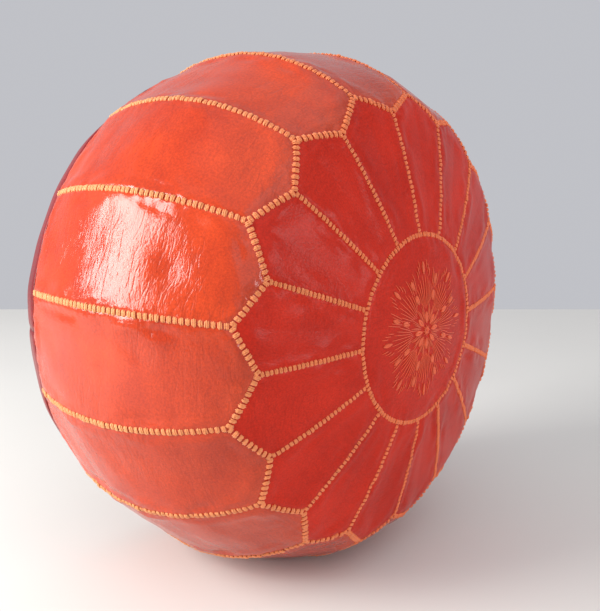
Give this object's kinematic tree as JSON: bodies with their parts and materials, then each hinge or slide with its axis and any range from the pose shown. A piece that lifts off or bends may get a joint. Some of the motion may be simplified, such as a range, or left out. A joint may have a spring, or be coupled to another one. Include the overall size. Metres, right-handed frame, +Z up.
{
  "type": "leather pouf",
  "caption": "Round stuffed leather floor pouf sewn from petals and side panels, with braided seams, an embroidered medallion and a zipped base, lying on its side.",
  "frame": {"origin": "on the floor under the middle of the pouf as it lies on its side, half way between crown and base", "axes": "+X along the pouf's own axis, from the zipped base to the embroidered crown; +Y across the pouf, along the closed zip towards its slider; +Z up. Turned by -90 degrees about Y it stands on its base, crown up."},
  "size_m": [0.3192, 0.54, 0.53],
  "materials": {
    "side_leather": "glossy glazed goat leather, orange red",
    "crown_leather": "semi-gloss goat leather, deeper red",
    "base_leather": "semi-gloss leather, crimson",
    "braid_thread": "twisted viscose thread, tan orange",
    "embroidery_thread": "silky thread, red",
    "lining_cotton": "plain woven cotton",
    "stuffing_fibre": "loose fibre and textile scraps",
    "zip_tape": "woven tape, dark red",
    "zip_metal": "aged brass"
  },
  "bodies": {
    "pouf": {"medallion": "crown_leather", "petal_01": "crown_leather", "petal_02": "crown_leather", "petal_03": "crown_leather", "petal_04": "crown_leather", "petal_05": "crown_leather", "petal_06": "crown_leather", "petal_07": "crown_leather", "petal_08": "crown_leather", "petal_09": "crown_leather", "petal_10": "crown_leather", "petal_11": "crown_leather", "petal_12": "crown_leather", "petal_13": "crown_leather", "petal_14": "crown_leather", "petal_15": "crown_leather", "petal_16": "crown_leather", "side_panel_01": "side_leather", "side_panel_02": "side_leather", "side_panel_03": "side_leather", "side_panel_04": "side_leather", "side_panel_05": "side_leather", "side_panel_06": "side_leather", "side_panel_07": "side_leather", "side_panel_08": "side_leather", "side_panel_09": "side_leather", "side_panel_10": "side_leather", "side_panel_11": "side_leather", "side_panel_12": "side_leather", "side_panel_13": "side_leather", "side_panel_14": "side_leather", "side_panel_15": "side_leather", "side_panel_16": "side_leather", "base_upper_half": "base_leather", "base_lower_half": "base_leather", "cotton_lining": "lining_cotton", "stuffing": "stuffing_fibre", "petal_seam_braids": "braid_thread", "side_seam_braids": "braid_thread", "zigzag_seam_braid": "braid_thread", "medallion_braid": "braid_thread", "medallion_embroidery": "embroidery_thread", "zip_tape_upper": "zip_tape", "zip_tape_lower": "zip_tape", "zip_teeth_upper": "zip_metal", "zip_teeth_lower": "zip_metal", "zip_top_stops": "zip_metal", "zip_bottom_stop": "zip_metal"},
    "zip_slider": {"zip_slider": "zip_metal"},
    "zip_pull": {"zip_pull": "zip_metal"}
  },
  "joints": [
    {"name": "zip_slide", "type": "slide", "parent": "pouf", "child": "zip_slider", "axis": [0, -1, 0], "range_m": [0, 0.28]},
    {"name": "pull_hinge", "type": "hinge", "parent": "zip_slider", "child": "zip_pull", "pos_m": [-0.15744, 0.143, 0.26], "axis": [0, 0, -1], "range_deg": [0, 160]}
  ]
}
